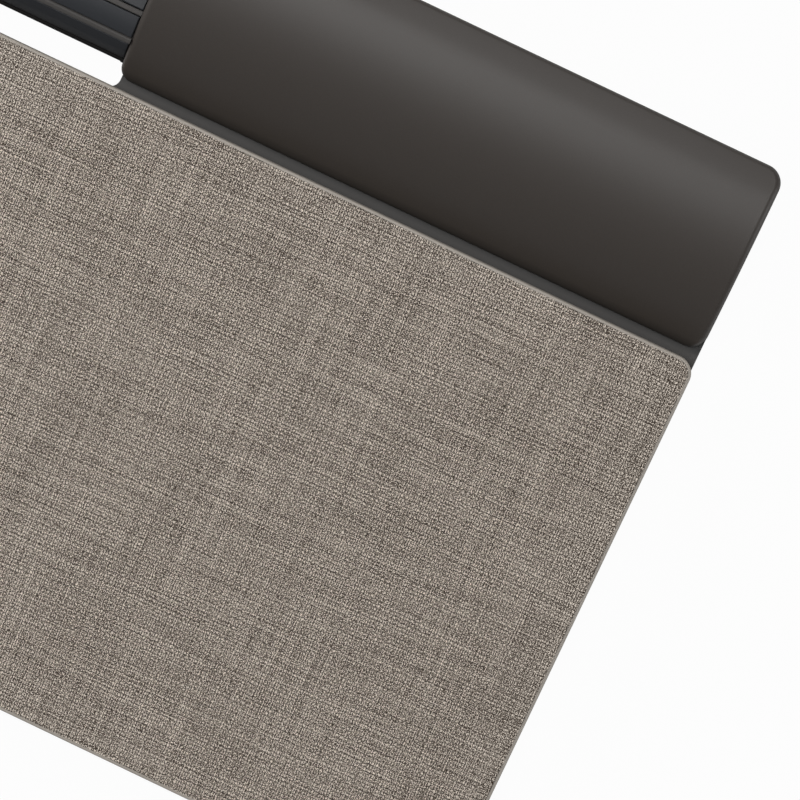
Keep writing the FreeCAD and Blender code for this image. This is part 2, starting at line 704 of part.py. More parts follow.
# Main board, cut out round the wheel and its posts, and the switches soldered to it.
main_board = new_body("main_board")
pad(main_board, outline(main_board, "plan", "XY_Plane", [
    box("-board_half", "board_half", "board_y", "board_back"),
], "board_low"), "board_thick")
cut(main_board, outline(main_board, "wheel_notch", "XY_Plane", [
    box("-(wheel_width / 2 + wheel_gap)", "wheel_width / 2 + wheel_gap",
        "board_y - 1", "wheel_y + wheel_radius - tyre_wall / 2"),
], "board_low"), "board_thick")
cut(main_board, outline(main_board, "post_notch", "XY_Plane", [
    box("-(post_x + post_thick + part_gap)", "post_x + post_thick + part_gap",
        "wheel_y - post_depth / 2 - part_gap", "wheel_y + post_depth / 2 + part_gap"),
], "board_low"), "board_thick")
cut(main_board, circles(main_board, "screw_holes", "XY_Plane", BOARD_BOSSES, "screw_radius + screw_fit",
                        "board_low"), "board_thick")
parts["main_board"] = main_board

key_switches = new_body("key_switches")
DOWN_SWITCHES = both_sides([("middle_switch_x", "middle_stem_y"), ("rear_switch_x", "rear_stem_y")])
HALF = "switch_size / 2"
pad(key_switches, outline(key_switches, "bodies", "XY_Plane", [
    box(f"{x} - {HALF}", f"{x} + {HALF}", f"{y} - {HALF}", f"{y} + {HALF}") for x, y in DOWN_SWITCHES
], "board_high"), "switch_body")
pad(key_switches, circles(key_switches, "plungers", "XY_Plane", DOWN_SWITCHES, "plunger_radius",
                          "board_high + switch_body"), "switch_top - switch_body")
FRONT_FACE = "front_plunger + switch_top - switch_body"
pad(key_switches, outline(key_switches, "side_bodies", "XY_Plane", both_boxes([
    (f"front_switch_x - {HALF}", f"front_switch_x + {HALF}", FRONT_FACE, FRONT_FACE + " + switch_body"),
]), "board_high"), "front_stem_z + stem_depth - board_high")
pad(key_switches, circles(key_switches, "side_plungers", "XZ_Plane",
                          [("front_switch_x", "front_stem_z"), ("-front_switch_x", "front_stem_z")],
                          "plunger_radius", f"-({FRONT_FACE})"), "switch_top - switch_body")
parts["key_switches"] = key_switches

wheel_switch = new_body("wheel_switch")
WHEEL_SWITCH_TOP = "wheel_z - axle_radius - wheel_travel - stem_gap"
pad(wheel_switch, outline(wheel_switch, "body", "XY_Plane", [
    box(f"wheel_switch_x - {HALF}", f"wheel_switch_x + {HALF}", f"wheel_y - {HALF}", f"wheel_y + {HALF}"),
], "board_high"), f"{WHEEL_SWITCH_TOP} - board_high - (switch_top - switch_body)")
pad(wheel_switch, circles(wheel_switch, "plunger", "XY_Plane", [("wheel_switch_x", "wheel_y")],
                          "plunger_radius", f"{WHEEL_SWITCH_TOP} - (switch_top - switch_body)"),
    "switch_top - switch_body")
parts["wheel_switch"] = wheel_switch

# Optical pair that counts the slots of the turning wheel.
wheel_encoder = new_body("wheel_encoder")
pad(wheel_encoder, outline(wheel_encoder, "bodies", "XY_Plane", both_boxes([
    ("wheel_width / 2 + wheel_gap", "post_x + post_thick", "board_y + part_gap * 3",
     "wheel_y - post_depth / 2 - part_gap * 2"),
]), "board_high"), "axle_boss")
parts["wheel_encoder"] = wheel_encoder

board_screws = new_body("board_screws")
pad(board_screws, circles(board_screws, "heads", "XY_Plane", BOARD_BOSSES, "screw_head_radius", "board_high"),
    "screw_head")
pad(board_screws, circles(board_screws, "shanks", "XY_Plane", BOARD_BOSSES, "screw_radius",
                          "pan_floor + part_gap"), "board_high - pan_floor - part_gap")
parts["board_screws"] = board_screws

# Sensor that reads the roller through the window of the back rail, on an upright board.
sensor_board = new_body("sensor_board")
SENSOR_BACK = "rail_front + sensor_setback + sensor_thick"
pad(sensor_board, outline(sensor_board, "plan", "XY_Plane", [
    box("-(sensor_half * 2)", "sensor_half * 2", SENSOR_BACK, SENSOR_BACK + " + board_thick"),
], "pan_floor"), "roller_z + sensor_height / 2 + part_gap - pan_floor")
parts["sensor_board"] = sensor_board
optical_sensor = new_body("optical_sensor")
pad(optical_sensor, outline(optical_sensor, "plan", "XY_Plane", [
    box("-sensor_half", "sensor_half", "rail_front + sensor_setback", SENSOR_BACK),
], "roller_z - sensor_height / 2"), "sensor_height")
cut(optical_sensor, circles(optical_sensor, "eye", "XZ_Plane", [("0", "roller_z")], "plunger_radius",
                            f"-({SENSOR_BACK} - part_gap)"), "sensor_thick")
parts["optical_sensor"] = optical_sensor

# Roller bar: a steel rod in two blocks that sink together when the bar is clicked, each guided by
# a keeper that stands on the chassis floor over a click switch.
slider_rod = doc.addObject("Part::Cylinder", "slider_rod")
slider_rod.Label = "slider_rod"
bind(slider_rod, "Radius", "rod_radius")
bind(slider_rod, "Height", "2 * (block_x + block_thick - part_gap)")
slider_rod.Placement.Rotation = FreeCAD.Rotation(FreeCAD.Vector(0, 1, 0), 90)
place(slider_rod, x="-(block_x + block_thick - part_gap)", y="roller_y", z="roller_z")
parts["slider_rod"] = slider_rod

rod_block = new_body("right_rod_block")
pad(rod_block, outline(rod_block, "section", "YZ_Plane", [[
    ("roller_y - block_half", "roller_z - block_low"),
    ("roller_y + block_half", "roller_z - block_low"),
    ("roller_y + block_half", "roller_z + block_high - block_half / 2", "block_half / 2", 1),
    ("roller_y + block_half / 2", "roller_z + block_high"),
    ("roller_y - block_half / 2", "roller_z + block_high", "block_half / 2", 1),
    ("roller_y - block_half", "roller_z + block_high - block_half / 2"),
]], "block_x"), "block_thick")
cut(rod_block, circles(rod_block, "bore", "YZ_Plane", [("roller_y", "roller_z")], "rod_radius + screw_fit / 2",
                       "block_x"), "block_thick")
parts["right_rod_block"] = rod_block
parts["left_rod_block"] = mirrored("left_rod_block", rod_block)

rod_keeper = new_body("right_rod_keeper")
pad(rod_keeper, outline(rod_keeper, "section", "YZ_Plane", [[
    ("roller_y - keeper_half", "pan_floor"),
    ("roller_y - keeper_half + keeper_wall", "pan_floor"),
    ("roller_y - keeper_half + keeper_wall", "keeper_top"),
    ("roller_y + keeper_half - keeper_wall", "keeper_top"),
    ("roller_y + keeper_half - keeper_wall", "pan_floor"),
    ("roller_y + keeper_half", "pan_floor"),
    ("roller_y + keeper_half", "keeper_top", "keeper_wall", 1),
    ("roller_y + keeper_half - keeper_wall", "keeper_top + keeper_wall"),
    ("roller_y - keeper_half + keeper_wall", "keeper_top + keeper_wall", "keeper_wall", 1),
    ("roller_y - keeper_half", "keeper_top"),
]], "block_x"), "block_thick - pan_wall + part_gap")
parts["right_rod_keeper"] = rod_keeper
parts["left_rod_keeper"] = mirrored("left_rod_keeper", rod_keeper)

bar_switches = new_body("bar_switches")
BAR_SWITCH_X = "block_x + (block_thick - pan_wall) / 2"
BAR_SWITCH_TOP = "roller_z - block_low - bar_travel - stem_gap"
BAR_SPOTS = both_sides([(BAR_SWITCH_X, "roller_y")])
BAR_HALF = "(block_thick - pan_wall) / 2"
pad(bar_switches, outline(bar_switches, "bodies", "XY_Plane", both_boxes([
    (f"{BAR_SWITCH_X} - {BAR_HALF}", f"{BAR_SWITCH_X} + {BAR_HALF}", f"roller_y - {HALF}", f"roller_y + {HALF}"),
]), "pan_floor"), f"{BAR_SWITCH_TOP} - pan_floor - (switch_top - switch_body)")
pad(bar_switches, circles(bar_switches, "plungers", "XY_Plane", BAR_SPOTS, f"{BAR_HALF} * 0.8",
                          f"{BAR_SWITCH_TOP} - (switch_top - switch_body)"), "switch_top - switch_body")
parts["bar_switches"] = bar_switches

# The roller itself turns on two flanged bushes, and slides with them along the rod.
bush = new_body("right_bush")
FLANGE_X = "sleeve_length / 2 + end_gap"
spin(bush, outline(bush, "section", "XY_Plane", [[
    ("sleeve_length / 2 - bush_length", "rod_radius + run_fit"),
    (f"{FLANGE_X} + flange_thick", "rod_radius + run_fit"),
    (f"{FLANGE_X} + flange_thick", "core_outer"),
    (FLANGE_X, "core_outer"),
    (FLANGE_X, "core_inner - run_fit"),
    ("sleeve_length / 2 - bush_length", "core_inner - run_fit"),
]]))
place(bush, y="roller_y", z="roller_z")
parts["right_bush"] = bush
parts["left_bush"] = mirrored("left_bush", bush)

core_tube = new_body("core_tube")
spin(core_tube, outline(core_tube, "section", "XY_Plane", [
    box("-sleeve_length / 2", "sleeve_length / 2", "core_inner", "core_outer - run_fit / 2"),
]))
place(core_tube, y="roller_y", z="roller_z")
parts["core_tube"] = core_tube

grip_sleeve = new_body("grip_sleeve")
GRIP_END = "sleeve_length / 2"
spin(grip_sleeve, outline(grip_sleeve, "section", "XY_Plane", [[
    (f"-{GRIP_END}", "core_outer"),
    (GRIP_END, "core_outer"),
    (GRIP_END, "sleeve_radius - grip_wall / 2"),
    (f"{GRIP_END} - grip_wall / 2", "sleeve_radius"),
    (f"-({GRIP_END} - grip_wall / 2)", "sleeve_radius"),
    (f"-{GRIP_END}", "sleeve_radius - grip_wall / 2"),
]]))
ring_of(grip_sleeve, cut(grip_sleeve, outline(grip_sleeve, "groove", "YZ_Plane", [[
    ("-grip_groove", "sleeve_radius + grip_groove"),
    ("0", "sleeve_radius - grip_groove"),
    ("grip_groove", "sleeve_radius + grip_groove"),
]], f"-{GRIP_END}"), "sleeve_length"), "grip_ribs")
place(grip_sleeve, y="roller_y", z="roller_z")
parts["grip_sleeve"] = grip_sleeve

# Scroll wheel: a hub with light slots for the encoder and a ribbed tyre, turning on a steel axle
# that can sink in its slotted posts.
wheel_axle = doc.addObject("Part::Cylinder", "wheel_axle")
wheel_axle.Label = "wheel_axle"
bind(wheel_axle, "Radius", "axle_radius")
bind(wheel_axle, "Height", "axle_end + post_x + post_thick")
wheel_axle.Placement.Rotation = FreeCAD.Rotation(FreeCAD.Vector(0, 1, 0), 90)
place(wheel_axle, x="-(post_x + post_thick)", y="wheel_y", z="wheel_z")
parts["wheel_axle"] = wheel_axle

wheel_hub = new_body("wheel_hub")
HUB_RIM = "wheel_radius - tyre_wall"
spin(wheel_hub, outline(wheel_hub, "section", "XY_Plane", [[
    ("-wheel_width / 2", "axle_radius + run_fit"),
    ("wheel_width / 2", "axle_radius + run_fit"),
    ("wheel_width / 2", "axle_boss"),
    ("wheel_width / 8", "axle_boss"),
    ("wheel_width / 8", f"{HUB_RIM} - tyre_wall / 2"),
    ("wheel_width / 2", f"{HUB_RIM} - tyre_wall / 2"),
    ("wheel_width / 2", f"{HUB_RIM} - run_fit / 2"),
    ("-wheel_width / 2", f"{HUB_RIM} - run_fit / 2"),
    ("-wheel_width / 2", f"{HUB_RIM} - tyre_wall / 2"),
    ("-wheel_width / 8", f"{HUB_RIM} - tyre_wall / 2"),
    ("-wheel_width / 8", "axle_boss"),
    ("-wheel_width / 2", "axle_boss"),
]]))
ring_of(wheel_hub, cut(wheel_hub, circles(wheel_hub, "light_slot", "YZ_Plane",
                                          [("0", f"(axle_boss + {HUB_RIM} - tyre_wall / 2) / 2")],
                                          f"({HUB_RIM} - tyre_wall / 2 - axle_boss) / 3",
                                          "-wheel_width / 8"), "wheel_width / 4"), "8")
place(wheel_hub, y="wheel_y", z="wheel_z")
parts["wheel_hub"] = wheel_hub

wheel_tyre = new_body("wheel_tyre")
spin(wheel_tyre, outline(wheel_tyre, "section", "XY_Plane", [[
    ("-wheel_width / 2", HUB_RIM),
    ("wheel_width / 2", HUB_RIM),
    ("wheel_width / 2", "wheel_radius - tyre_wall / 2", "tyre_wall / 2", 1),
    ("wheel_width / 2 - tyre_wall / 2", "wheel_radius"),
    ("-(wheel_width / 2 - tyre_wall / 2)", "wheel_radius", "tyre_wall / 2", 1),
    ("-wheel_width / 2", "wheel_radius - tyre_wall / 2"),
]]))
ring_of(wheel_tyre, cut(wheel_tyre, outline(wheel_tyre, "groove", "YZ_Plane", [[
    ("-tyre_groove", "wheel_radius + tyre_groove"),
    ("0", "wheel_radius - tyre_groove"),
    ("tyre_groove", "wheel_radius + tyre_groove"),
]], "-wheel_width / 2"), "wheel_width"), "tyre_ribs")
place(wheel_tyre, y="wheel_y", z="wheel_z")
parts["wheel_tyre"] = wheel_tyre

# Power side, in the right wing: a charging board with its socket and the power switch.
charge_board = new_body("charge_board")
pad(charge_board, outline(charge_board, "plan", "XY_Plane", [
    box("charge_board_x - charge_board_width / 2", "charge_board_x + charge_board_width / 2",
        "charge_back - charge_board_depth - 2 * board_boss_radius", "charge_back"),
], "charge_low"), "board_thick")
parts["charge_board"] = charge_board

usb_socket = new_body("usb_socket")


def socket_loop(inset):
    return round_box(
        f"socket_x - socket_width / 2 + {inset}", f"socket_x + socket_width / 2 - ({inset})",
        f"socket_z - socket_height / 2 + {inset}", f"socket_z + socket_height / 2 - ({inset})",
        [f"socket_height * 0.45 - ({inset})"] * 4)


pad(usb_socket, outline(usb_socket, "shell", "XZ_Plane", [socket_loop("0")], "-charge_back"), "socket_depth")
cut(usb_socket, outline(usb_socket, "mouth", "XZ_Plane", [socket_loop("socket_shell")], "-charge_back"),
    "socket_depth - 2 * socket_shell")
pad(usb_socket, outline(usb_socket, "tongue", "XZ_Plane", [box(
    "socket_x - socket_width / 3", "socket_x + socket_width / 3",
    "socket_z - socket_shell", "socket_z + socket_shell",
)], "-(charge_back - socket_shell * 2)"), "socket_depth - 3 * socket_shell")
parts["usb_socket"] = usb_socket

power_switch = new_body("power_switch")
SWITCH_FRONT = "charge_back - switch_body"
pad(power_switch, outline(power_switch, "plan", "XY_Plane", [
    box("switch_x - knob_width", "switch_x + knob_width + knob_travel", SWITCH_FRONT, "charge_back - part_gap * 2"),
], "charge_high"), "switch_body")
parts["power_switch"] = power_switch

power_knob = new_body("power_knob")
pad(power_knob, outline(power_knob, "face", "XZ_Plane", [box(
    "switch_x - knob_width / 2", "switch_x + knob_width / 2",
    "knob_z - knob_height / 2", "knob_z + knob_height / 2",
)], "-knob_tip"), "knob_tip - charge_back + part_gap")
fillet(power_knob, "part_gap", lambda edge: edge.BoundBox.YMin > number("knob_tip") - 1e-4)
parts["power_knob"] = power_knob

# Pouch cell in the left wing, as long as the room between the two magnets there.
battery = new_body("battery")
BATTERY_CLEAR = "(magnet_inset + magnet_radius + battery_gap)"
pad(battery, outline(battery, "plan", "XY_Plane", [
    round_box(f"-(unit_x - {BATTERY_CLEAR})", f"-(cover_x + {BATTERY_CLEAR})",
              "unit_front + battery_front", "unit_front + battery_front + battery_depth", ["2 * part_gap"] * 4),
], "seat_z"), "battery_thick")
parts["battery"] = battery

magnets = new_body("magnets")
pad(magnets, circles(magnets, "discs", "XY_Plane", MAGNETS, "magnet_radius", "seat_z - magnet_seat"),
    "magnet_thick")
parts["magnets"] = magnets

cover_screws = new_body("cover_screws")
pad(cover_screws, circles(cover_screws, "heads", "XY_Plane", both_sides(COVER_BOSSES), "screw_head_radius",
                          "rim_z"), "screw_head")
pad(cover_screws, circles(cover_screws, "shanks", "XY_Plane", both_sides(COVER_BOSSES), "screw_radius",
                          "rim_z"), "floor_thick + screw_grip")
SOCKET_FLAT = "screw_radius * tan(30)"
cut(cover_screws, outline(cover_screws, "hex_sockets", "XY_Plane", [[
    (f"{x} + 2 * {SOCKET_FLAT}", y),
    (f"{x} + {SOCKET_FLAT}", f"{y} + screw_radius"),
    (f"{x} - {SOCKET_FLAT}", f"{y} + screw_radius"),
    (f"{x} - 2 * {SOCKET_FLAT}", y),
    (f"{x} - {SOCKET_FLAT}", f"{y} - screw_radius"),
    (f"{x} + {SOCKET_FLAT}", f"{y} - screw_radius"),
] for x, y in both_sides(COVER_BOSSES)], "rim_z"), "screw_head * 2 / 3")
parts["cover_screws"] = cover_screws

# Rubber feet: thin strips under the pan, taller ones under the wings behind the plate's tabs.
FOOT = "unit_foot_width"
unit_feet = new_body("unit_feet")
PAN_FEET = both_boxes([
    ("mid_x - unit_foot_length - 3 * pan_wall", "mid_x - 3 * pan_wall",
     "frame_front + pan_wall", f"frame_front + pan_wall + {FOOT}"),
    ("mid_x - unit_foot_length - 3 * pan_wall", "mid_x - 3 * pan_wall",
     f"wing_back - pan_wall - {FOOT}", "wing_back - pan_wall"),
])
pad(unit_feet, outline(unit_feet, "pan_feet", "XY_Plane", PAN_FEET), "foot_height")
pad(unit_feet, outline(unit_feet, "wing_feet", "XY_Plane", both_boxes([
    ("boss_far - unit_foot_length - 2 * boss_radius", "boss_far - 2 * boss_radius",
     f"wing_back - pan_wall - {FOOT}", "wing_back - pan_wall"),
])), "rim_z")
parts["unit_feet"] = unit_feet

# Palm rest: a powder-coated steel plate whose two tabs slip under the end covers, where the
# magnets hold them. It leaves a gap for the thumbs in front of the keys.
rest_plate = new_body("rest_plate")
PLATE_X, PLATE_FRONT = "rest_x - plate_inset", "rest_front + plate_inset"
PLATE_MID, TAB_BACK, TAB_X = "rest_back - plate_inset", "unit_front + tab_reach", "cover_x + tab_inset"
CORNER, INNER = "rest_corner", "plate_inner_corner"
pad(rest_plate, outline(rest_plate, "plan", "XY_Plane", [[
    (f"-({PLATE_X}) + {CORNER}", PLATE_FRONT),
    (f"{PLATE_X} - {CORNER}", PLATE_FRONT, CORNER, 1),
    (PLATE_X, f"{PLATE_FRONT} + {CORNER}"),
    (PLATE_X, f"{TAB_BACK} - {CORNER}", CORNER, 1),
    (f"{PLATE_X} - {CORNER}", TAB_BACK),
    (f"{TAB_X} + {CORNER}", TAB_BACK, CORNER, 1),
    (TAB_X, f"{TAB_BACK} - {CORNER}"),
    (TAB_X, f"{PLATE_MID} + {INNER}", INNER, -1),
    (f"{TAB_X} - {INNER}", PLATE_MID),
    (f"-({TAB_X}) + {INNER}", PLATE_MID, INNER, -1),
    (f"-({TAB_X})", f"{PLATE_MID} + {INNER}"),
    (f"-({TAB_X})", f"{TAB_BACK} - {CORNER}", CORNER, 1),
    (f"-({TAB_X}) - {CORNER}", TAB_BACK),
    (f"-({PLATE_X}) + {CORNER}", TAB_BACK, CORNER, 1),
    (f"-({PLATE_X})", f"{TAB_BACK} - {CORNER}"),
    (f"-({PLATE_X})", f"{PLATE_FRONT} + {CORNER}", CORNER, 1),
]], "foot_height"), "plate_thick")
parts["rest_plate"] = rest_plate

# Tray with a thin upright rim, which shows as a light edge all round the cloth.
rest_tray = new_body("rest_tray")
pad(rest_tray, outline(rest_tray, "plan", "XY_Plane", [
    round_box("-rest_x", "rest_x", "rest_front", "rest_back", [CORNER] * 4),
], "plate_high"), "rim_top - plate_high")
fillet(rest_tray, "rim_edge", lambda edge: edge.BoundBox.ZMin > number("rim_top") - 1e-4)
cut(rest_tray, outline(rest_tray, "well", "XY_Plane", [
    round_box("-rest_x + rim_wall", "rest_x - rim_wall", "rest_front + rim_wall", "rest_back - rim_wall",
              [f"{CORNER} - rim_wall"] * 4),
], "tray_top"), "rim_top")
parts["rest_tray"] = rest_tray


def padded_form(label, inset, top):
    """A crowned block with rounded corners and a soft top edge, inset from the tray's rim."""
    body = new_body(label)
    x, low, high = f"pad_x - ({inset})", f"pad_front + {inset}", f"pad_back - ({inset})"
    span = f"({high} - ({low}))"
    pad(body, outline(body, "section", "YZ_Plane", [[
        (low, "tray_top"),
        (high, "tray_top"),
        (high, f"{top} - pad_crown", f"({span}^2 / 4 + pad_crown^2) / (2 * pad_crown)", 1),
        (low, f"{top} - pad_crown"),
    ]], f"-({x})"), f"2 * ({x})")
    corner = f"rest_corner - rim_wall - pad_gap - ({inset})"
    cut(body, outline(body, "corners", "XY_Plane", [
        box(f"-({x}) - rest_depth", f"{x} + rest_depth", f"{low} - rest_depth", f"{high} + rest_depth"),
        round_box(f"-({x})", x, low, high, [corner] * 4),
    ]), f"({top}) * 2")
    fillet(body, "pad_edge", lambda edge: edge.BoundBox.ZMin > number(f"{top} - pad_crown") - 1e-3)
    return body


# Foam pad, and the woven cloth drawn over it and tucked down inside the rim.
parts["foam_pad"] = padded_form("foam_pad", "foam_inset", "pad_top - foam_inset")
cloth_form = padded_form("cloth_form", "0", "pad_top")
cloth_hollow = padded_form("cloth_hollow", "cloth", "pad_top - cloth")
parts["cloth_cover"] = taken_away("cloth_cover", cloth_form, cloth_hollow)

rest_feet = new_body("rest_feet")
REST_FOOT_X = "rest_x - rest_foot_inset"
pad(rest_feet, outline(rest_feet, "strips", "XY_Plane", both_boxes([
    (f"{REST_FOOT_X} - rest_foot_length", REST_FOOT_X, "rest_front + rest_foot_inset",
     "rest_front + rest_foot_inset + rest_foot_width"),
    (f"{REST_FOOT_X} - rest_foot_length", REST_FOOT_X, "rest_back - rest_foot_inset - rest_foot_width",
     "rest_back - rest_foot_inset"),
])), "foot_height")
parts["rest_feet"] = rest_feet

doc.recompute()

faults = [thing.Label for thing in doc.Objects if "Invalid" in thing.State or "Error" in thing.State]
for label, part in parts.items():
    if part.Shape.isNull() or not part.Shape.isValid() or not part.Shape.Solids:
        faults.append(label)
if faults:
    raise RuntimeError("failed: " + ", ".join(faults))

os.makedirs("parts", exist_ok=True)
for label, part in parts.items():
    part.Shape.exportStep(f"parts/{label}.step")
    size = part.Shape.BoundBox
    print(label, len(part.Shape.Solids), round(part.Shape.Volume, 1),
          [round(value, 2) for value in (size.XMin, size.XMax, size.YMin, size.YMax, size.ZMin, size.ZMax)])
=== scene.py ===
import math

import bmesh
import bpy
from mathutils import Matrix, Vector


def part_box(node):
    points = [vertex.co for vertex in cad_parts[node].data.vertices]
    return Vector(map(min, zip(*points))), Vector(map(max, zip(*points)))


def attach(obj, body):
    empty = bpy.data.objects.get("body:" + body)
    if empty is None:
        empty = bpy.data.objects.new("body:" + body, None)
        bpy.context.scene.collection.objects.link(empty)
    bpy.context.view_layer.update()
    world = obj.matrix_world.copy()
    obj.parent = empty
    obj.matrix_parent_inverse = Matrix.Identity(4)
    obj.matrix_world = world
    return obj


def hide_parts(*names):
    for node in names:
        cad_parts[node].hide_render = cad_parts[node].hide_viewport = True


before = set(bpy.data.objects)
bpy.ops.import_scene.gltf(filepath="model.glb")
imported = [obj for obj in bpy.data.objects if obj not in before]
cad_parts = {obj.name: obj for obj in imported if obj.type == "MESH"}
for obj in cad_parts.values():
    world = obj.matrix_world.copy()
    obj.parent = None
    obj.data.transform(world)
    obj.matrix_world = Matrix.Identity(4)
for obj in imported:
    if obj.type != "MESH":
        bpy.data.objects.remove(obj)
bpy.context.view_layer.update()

# Chassis tray and rod keepers: black ABS, injection moulded in a spark-eroded tool, which leaves
# an even dull grain. The tray carries everything else, and the keepers are screwed to its ends.
MM = 0.001


def linear(code):
    """An sRGB hex value as the linear colour that a shader takes."""
    parts = [int(code[at:at + 2], 16) / 255 for at in (0, 2, 4)]
    levels = [part / 12.92 if part <= 0.04045 else ((part + 0.055) / 1.055) ** 2.4 for part in parts]
    return levels + [1.0]


def new_finish(name):
    """An empty material and its shader."""
    finish = bpy.data.materials.new(name)
    finish.use_nodes = True
    return finish, finish.node_tree.nodes["Principled BSDF"]


def feed(finish, node, feeds):
    """Sets a node's sockets: each to a value, or to the output that drives it."""
    for socket, value in feeds.items():
        if isinstance(value, bpy.types.NodeSocket):
            finish.node_tree.links.new(value, node.inputs[socket])
        else:
            node.inputs[socket].default_value = value


def add(finish, kind, feeds, **settings):
    """Adds one node with its settings and links."""
    node = finish.node_tree.nodes.new(kind)
    for name, value in settings.items():
        setattr(node, name, value)
    feed(finish, node, feeds)
    return node


# A face counts as upright up to the first of these heights of its normal, and as facing up from the
# second on.
UPRIGHT, FACING_UP = 0.1, 0.6
GLOSS_SWING = 0.08


def grained(name, pit, peak, grit, depth, roughness, shine=0.5, painted_shade=None):
    """Plastic, rubber or coating with an even grain, which shows in height, tone and gloss.
    Grit and depth are the grain's width and height in millimetres. Upright faces shine less than
    those that face up, because they drag along the tool or get a thinner coat. The darkening is painted
    shade: it gives an axis, where along it the shade is darkest, where it ends, and the share of light
    taken off."""
    finish, shader = new_finish(name)
    place = add(finish, "ShaderNodeTexCoord", {})
    grain = add(finish, "ShaderNodeTexNoise",
                {"Vector": place.outputs["Object"], "Scale": 1 / (grit * MM), "Detail": 3.0,
                 "Roughness": 0.6}).outputs[0]
    tone = add(finish, "ShaderNodeMix", {0: grain, 6: linear(pit), 7: linear(peak)},
               data_type="RGBA").outputs[2]
    # Painted shade: the tone is scaled down along one axis where shade falls.
    if painted_shade:
        axis, darkest, shade_end, loss = painted_shade
        along = add(finish, "ShaderNodeSeparateXYZ", {0: place.outputs["Object"]}).outputs[axis]
        kept = add(finish, "ShaderNodeMapRange",
                   {"Value": along, "From Min": darkest, "From Max": shade_end, "To Min": 1 - loss}).outputs[0]
        tone = add(finish, "ShaderNodeVectorMath", {0: tone, "Scale": kept}, operation="SCALE").outputs[0]
    gloss = add(finish, "ShaderNodeMapRange",
                {"Value": grain, "To Min": roughness - GLOSS_SWING,
                 "To Max": roughness + GLOSS_SWING}).outputs[0]
    facing = add(finish, "ShaderNodeSeparateXYZ", {0: place.outputs["Normal"]}).outputs[2]
    dulled = add(finish, "ShaderNodeMapRange",
                 {"Value": facing, "From Min": UPRIGHT, "From Max": FACING_UP, "To Min": 1.0,
                  "To Max": gloss}).outputs[0]
    relief = add(finish, "ShaderNodeBump", {"Height": grain, "Distance": depth * MM}).outputs[0]
    feed(finish, shader, {"Base Color": tone, "Roughness": dulled, "Normal": relief,
                          "Specular IOR Level": shine})
    return finish


def dress(finish, *nodes):
    """Gives CAD nodes their finish."""
    for node in nodes:
        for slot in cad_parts[node].material_slots:
            slot.material = finish


dress(grained("moulded_black_abs", "161616", "262626", 0.3, 0.015, 0.55),
      "chassis", "right_rod_keeper", "left_rod_keeper")

# Feet of the unit and of the palm rest: strips die-cut from dull silicone rubber sheet and stuck on,
# so they have a faint chalky grain and hardly any gloss.
dress(grained("die_cut_silicone_rubber", "121212", "1f1f1f", 0.4, 0.02, 0.85),
      "unit_feet", "rest_feet")

# Circuit boards: glass-fibre laminate under green solder mask. The copper runs below the mask show
# as slightly paler lanes, 0.4 mm wide.
LANE_UNIT, LANE_WIDTH, LANE_SPACING, LANE_LENGTH = 2 * MM, 0.4 * MM, 1.2 * MM, 6 * MM
board_finish, board_shader = new_finish("green_solder_mask")
board_spot = add(board_finish, "ShaderNodeTexCoord", {}).outputs["Object"]
board_lanes = add(board_finish, "ShaderNodeTexBrick",
                  {"Vector": board_spot, "Scale": 1 / LANE_UNIT, "Color1": linear("0d3a22"),
                   "Color2": linear("0f4027"), "Mortar": linear("1d5a38"),
                   "Mortar Size": LANE_WIDTH / 2 / LANE_UNIT, "Brick Width": LANE_LENGTH / LANE_UNIT,
                   "Row Height": LANE_SPACING / LANE_UNIT}).outputs[0]
feed(board_finish, board_shader, {"Base Color": board_lanes, "Roughness": 0.35, "IOR": 1.55})
dress(board_finish, "main_board", "sensor_board", "charge_board")

# Switches, sensor, encoder and the sliding power knob: black glass-filled nylon, moulded smooth, with
# the faint swirl that the fibres leave.
dress(grained("glass_filled_nylon", "0f0f10", "232325", 0.6, 0.008, 0.42),
      "key_switches", "wheel_switch", "wheel_encoder", "bar_switches", "optical_sensor",
      "power_switch", "power_knob")

# Rod, axle, screws, charging socket and magnets: plated steel. The rod is ground between centres, so
# fine rings run round it, across its length.
RING_WIDTH, RING_REACH = 0.15 * MM, 12 * MM
steel_finish, steel_shader = new_finish("ground_plated_steel")
steel_spot = add(steel_finish, "ShaderNodeTexCoord", {}).outputs["Object"]
steel_rings = add(steel_finish, "ShaderNodeMapping",
                  {"Vector": steel_spot,
                   "Scale": [1 / RING_WIDTH, 1 / RING_REACH, 1 / RING_REACH]}).outputs[0]
steel_marks = add(steel_finish, "ShaderNodeTexNoise",
                  {"Vector": steel_rings, "Scale": 1.0, "Detail": 2.0}).outputs[0]
steel_tone = add(steel_finish, "ShaderNodeMix",
                 {0: steel_marks, 6: linear("a9abad"), 7: linear("cfd0d1")}, data_type="RGBA").outputs[2]
steel_gloss = add(steel_finish, "ShaderNodeMapRange",
                  {"Value": steel_marks, "To Min": 0.2, "To Max": 0.36}).outputs[0]
feed(steel_finish, steel_shader, {"Base Color": steel_tone, "Roughness": steel_gloss, "Metallic": 1.0})
dress(steel_finish, "slider_rod", "wheel_axle", "cover_screws", "board_screws", "usb_socket", "magnets")

# Rod blocks, bushes and wheel hub: natural acetal, an off-white plastic that looks a little waxy.
# They are moulded smooth, so that they slide without oil.
dress(grained("natural_acetal", "c9c5ba", "dcd9d0", 0.5, 0.006, 0.38),
      "right_rod_block", "left_rod_block", "right_bush", "left_bush", "wheel_hub")

